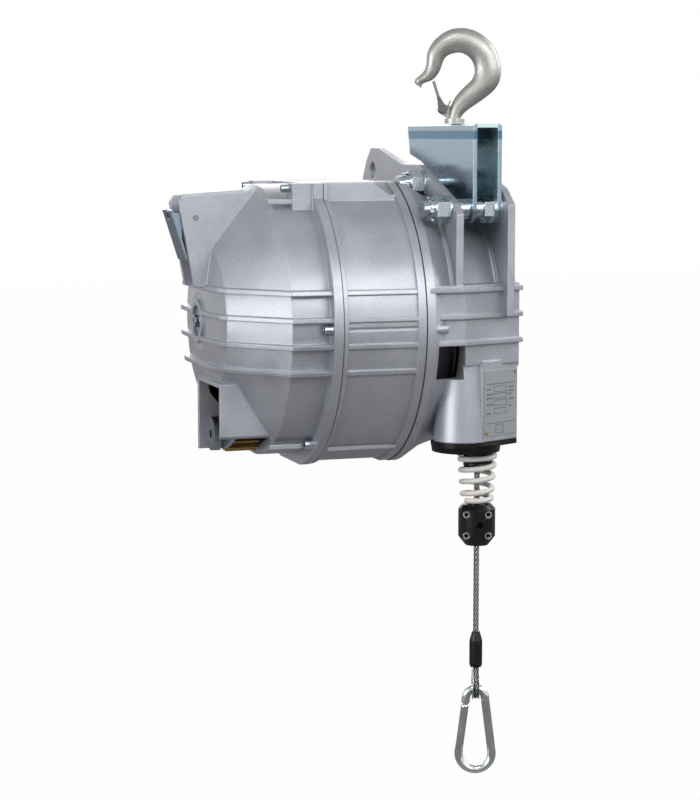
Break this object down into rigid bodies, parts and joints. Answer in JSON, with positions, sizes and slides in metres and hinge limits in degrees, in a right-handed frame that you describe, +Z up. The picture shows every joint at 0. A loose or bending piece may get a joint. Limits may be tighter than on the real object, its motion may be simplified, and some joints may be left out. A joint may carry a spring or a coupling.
{
  "type": "tool balancer",
  "caption": "Enclosed spring balancer with swivel safety hook, finned cast casing, conical rope drum, rope clamp with buffer spring, and carabiner.",
  "frame": {"origin": "the point inside the hook's bowl that the balancer hangs from, on the hook's swivel axis", "axes": "+Z up along the hook's swivel axis, +X along the drum's axis from the spring cover to the drum housing, -Y towards the hanging rope"},
  "size_m": [0.3449, 0.3, 0.7566],
  "materials": {
    "cast_casing": "shot-blasted casting, satin",
    "case_fasteners": "dark zinc",
    "bushes": "sintered bronze",
    "bracket_plate": "bright zinc plated, bluish",
    "bolt_steel": "bright zinc plated",
    "hook_steel": "forged, satin zinc",
    "hook_fittings": "zinc plated",
    "lever_plate": "bright zinc plated",
    "adjuster_steel": "machined steel",
    "gear_bronze": "machined bronze",
    "shaft_steel": "ground steel",
    "drum_casting": "turned casting",
    "case_sheet": "oiled sheet steel",
    "spring_steel": "blued spring steel",
    "rope_wire": "oiled wire rope",
    "label_plate": "anodised plate",
    "rivet_brass": "plain",
    "guide_plastic": "black moulding",
    "clamp_plastic": "black moulding",
    "clamp_fasteners": "zinc plated",
    "buffer_coat": "off-white coated",
    "sleeve_rubber": "heat-shrunk sleeve",
    "eye_steel": "bright zinc plated",
    "carabiner_steel": "bright zinc plated"
  },
  "bodies": {
    "housing": {"spring_cover": "cast_casing", "spring_ring": "cast_casing", "drum_housing": "cast_casing", "case_screws": "case_fasteners", "left_bush": "bushes", "right_bush": "bushes", "suspension_bracket": "bracket_plate", "suspension_bolts": "bolt_steel", "suspension_nuts": "bolt_steel", "split_pins": "bolt_steel", "bracket_spacers": "bolt_steel", "lock_pin": "lever_plate", "adjuster_plate": "adjuster_steel", "rating_plate": "label_plate", "plate_rivets": "rivet_brass", "rope_guide_base": "guide_plastic", "rope_nozzle": "guide_plastic"},
    "hook": {"lifting_hook": "hook_steel", "hook_washer": "hook_fittings", "hook_nut": "hook_fittings", "latch_pin": "hook_fittings"},
    "latch": {"hook_latch": "hook_fittings"},
    "drum": {"main_shaft": "shaft_steel", "drum_key": "shaft_steel", "end_washer": "case_fasteners", "end_screw": "case_fasteners", "rope_drum": "drum_casting", "rope_windings": "rope_wire", "spring_arbor": "shaft_steel"},
    "spring_box": {"spring_case": "case_sheet", "spring_case_lid": "case_sheet", "power_springs": "spring_steel", "ring_gear": "gear_bronze"},
    "adjuster": {"adjusting_shaft": "adjuster_steel", "adjusting_pinion": "gear_bronze"},
    "lever": {"lock_lever": "lever_plate"},
    "line": {"rope_run": "rope_wire", "clamp_front": "clamp_plastic", "clamp_back": "clamp_plastic", "clamp_screws": "clamp_fasteners", "buffer_spring": "buffer_coat", "hanging_rope": "rope_wire", "rope_sleeve": "sleeve_rubber", "rope_eye": "eye_steel"},
    "snap_hook": {"carabiner": "carabiner_steel"},
    "gate": {"carabiner_gate": "carabiner_steel"}
  },
  "joints": [
    {"name": "hook_swivel", "type": "hinge", "parent": "housing", "child": "hook", "pos_m": [0, 0, -0.0715], "axis": [0, 0, 1], "continuous": true},
    {"name": "latch_hinge", "type": "hinge", "parent": "hook", "child": "latch", "pos_m": [-0.01185, 0.00397, -0.0565], "axis": [0.3173, 0.9483, 0], "range_deg": [0, 32], "stiffness_Nm_per_rad": 0.04, "springref_deg": -28.65},
    {"name": "drum_spin", "type": "hinge", "parent": "housing", "child": "drum", "pos_m": [-0.0135, 0.042, -0.2685], "axis": [1, 0, 0], "range_deg": [0, 1091], "stiffness_Nm_per_rad": 0.1, "springref_deg": -1145.92},
    {"name": "rope_travel", "type": "slide", "parent": "housing", "child": "line", "axis": [0, 0, -1], "range_m": [0, 2], "deforming": ["rope_run"]},
    {"name": "case_turn", "type": "hinge", "parent": "housing", "child": "spring_box", "pos_m": [-0.1435, 0.042, -0.2685], "axis": [1, 0, 0], "range_deg": [-360, 360]},
    {"name": "adjuster_spin", "type": "hinge", "parent": "housing", "child": "adjuster", "pos_m": [-0.2235, 0.02103, -0.38055], "axis": [1, 0, 0], "range_deg": [-2160, 2160]},
    {"name": "lock_lever_hinge", "type": "hinge", "parent": "housing", "child": "lever", "pos_m": [-0.2665, 0.042, -0.1645], "axis": [0, 1, 0], "range_deg": [0, 25]},
    {"name": "carabiner_swing", "type": "hinge", "parent": "line", "child": "snap_hook", "pos_m": [0.002, -0.063, -0.6505], "axis": [0.3173, 0.9483, 0], "range_deg": [-60, 60]},
    {"name": "gate_hinge", "type": "hinge", "parent": "snap_hook", "child": "gate", "pos_m": [-0.00828, -0.05956, -0.66189], "axis": [-0.3173, -0.9483, 0], "range_deg": [0, 22], "stiffness_Nm_per_rad": 0.1, "springref_deg": -28.65}
  ],
  "couplings": [
    {"joint": "rope_travel", "follows": "drum_spin", "m_per_rad": 0.105},
    {"joint": "adjuster_spin", "follows": "case_turn", "ratio": -6}
  ]
}
